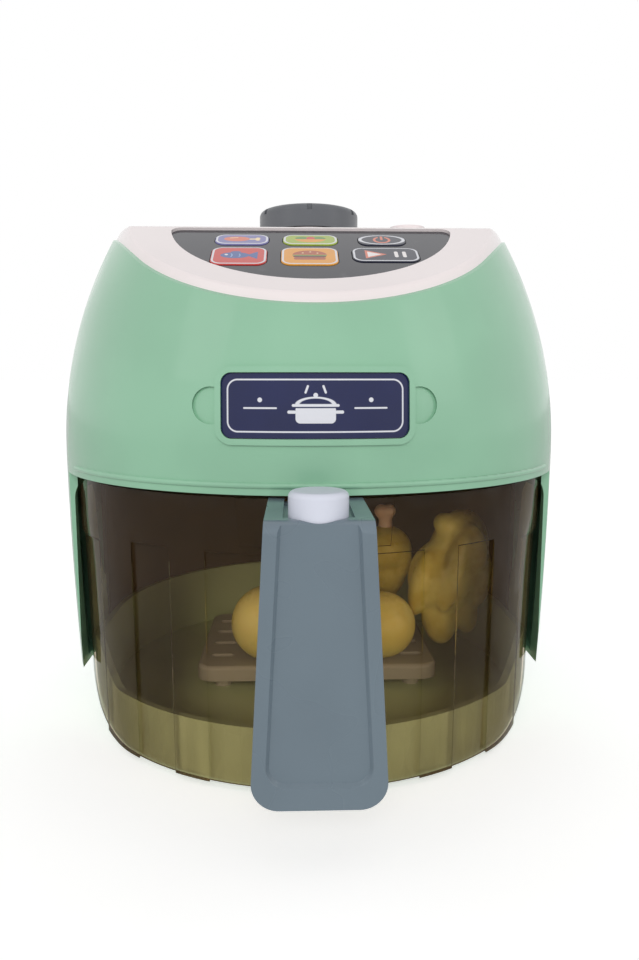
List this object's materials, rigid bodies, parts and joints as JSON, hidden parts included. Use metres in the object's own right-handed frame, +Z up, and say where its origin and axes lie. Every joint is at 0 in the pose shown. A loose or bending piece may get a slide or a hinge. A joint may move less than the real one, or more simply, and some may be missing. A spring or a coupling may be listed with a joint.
{
  "type": "toy air fryer",
  "caption": "Barrel-shaped toy air fryer with a sliding drawer behind a smoky window, a hanging handle with a sprung button, a sloped key panel and a turning knob.",
  "frame": {"origin": "middle of the footprint's bounding box, on the surface that the feet stand on", "axes": "+Z up, -Y out of the drawer's front along its handle, +X to the right in the front view"},
  "size_m": [0.1714, 0.2027, 0.1783],
  "materials": {
    "housing_green": "moulded gloss, pale green",
    "lid_white": "moulded gloss, warm white",
    "panel_black": "clear-coated print, navy black",
    "label_navy": "laminated label, navy",
    "window_smoke": "clear smoky brown, polished",
    "handle_grey": "moulded semi-gloss, blue grey",
    "knob_grey": "moulded semi-gloss, dark grey",
    "liner_dark": "moulded matt, near black",
    "shaft_white": "moulded, natural white",
    "rack_grey": "moulded, pale grey",
    "foot_rubber": "moulded rubber, dark grey",
    "board_green": "resin board, green mask",
    "switch_black": "moulded, black",
    "cell_sleeve": "printed metal jacket, bare of print",
    "screw_steel": "zinc-plated steel",
    "food_potato": "soft satin, yellow",
    "food_roast": "soft satin, golden brown"
  },
  "bodies": {
    "housing": {"front_shell": "housing_green", "rear_shell": "housing_green", "battery_door": "housing_green", "battery_box": "liner_dark", "batteries": "cell_sleeve", "battery_contacts": "screw_steel", "battery_door_screw": "screw_steel", "base_tub": "housing_green", "feet": "foot_rubber", "case_screws": "screw_steel", "bay_liner": "liner_dark", "lid": "lid_white", "control_panel": "panel_black", "key_mat": "foot_rubber", "main_board": "board_green", "board_screws": "screw_steel", "rotary_switch": "switch_black", "speaker": "switch_black", "name_plate": "label_navy"},
    "drawer": {"drawer_pan": "housing_green", "window": "window_smoke", "handle": "handle_grey", "handle_screws": "screw_steel", "handle_cover": "handle_grey", "cover_screws": "screw_steel", "rack": "rack_grey", "potato": "food_potato", "roast_chicken": "food_roast", "drumstick": "food_roast", "button_spring": "screw_steel"},
    "button": {"release_button": "lid_white"},
    "dial": {"knob": "knob_grey", "knob_shaft": "shaft_white", "shaft_clip": "screw_steel"},
    "press_roast": {"key_roast": "panel_black"},
    "press_salad": {"key_salad": "panel_black"},
    "press_power": {"key_power": "panel_black"},
    "press_fish": {"key_fish": "panel_black"},
    "press_bun": {"key_bun": "panel_black"},
    "press_play": {"key_play": "panel_black"}
  },
  "joints": [
    {"name": "drawer_slide", "type": "slide", "parent": "housing", "child": "drawer", "axis": [0, -1, 0], "range_m": [0, 0.105]},
    {"name": "button_press", "type": "slide", "parent": "drawer", "child": "button", "axis": [0, 0, -1], "range_m": [0, 0.003], "stiffness_N_per_m": 400, "deforming": ["button_spring"]},
    {"name": "dial_turn", "type": "hinge", "parent": "housing", "child": "dial", "pos_m": [0, 0.02865, 0.174], "axis": [0, 0, 1], "continuous": true},
    {"name": "press_roast_slide", "type": "slide", "parent": "housing", "child": "press_roast", "axis": [0, 0.4924, -0.8704], "range_m": [0, 0.0008], "stiffness_N_per_m": 600},
    {"name": "press_salad_slide", "type": "slide", "parent": "housing", "child": "press_salad", "axis": [0, 0.4924, -0.8704], "range_m": [0, 0.0008], "stiffness_N_per_m": 600},
    {"name": "press_power_slide", "type": "slide", "parent": "housing", "child": "press_power", "axis": [0, 0.4924, -0.8704], "range_m": [0, 0.0008], "stiffness_N_per_m": 600},
    {"name": "press_fish_slide", "type": "slide", "parent": "housing", "child": "press_fish", "axis": [0, 0.4924, -0.8704], "range_m": [0, 0.0008], "stiffness_N_per_m": 600},
    {"name": "press_bun_slide", "type": "slide", "parent": "housing", "child": "press_bun", "axis": [0, 0.4924, -0.8704], "range_m": [0, 0.0008], "stiffness_N_per_m": 600},
    {"name": "press_play_slide", "type": "slide", "parent": "housing", "child": "press_play", "axis": [0, 0.4924, -0.8704], "range_m": [0, 0.0008], "stiffness_N_per_m": 600}
  ]
}
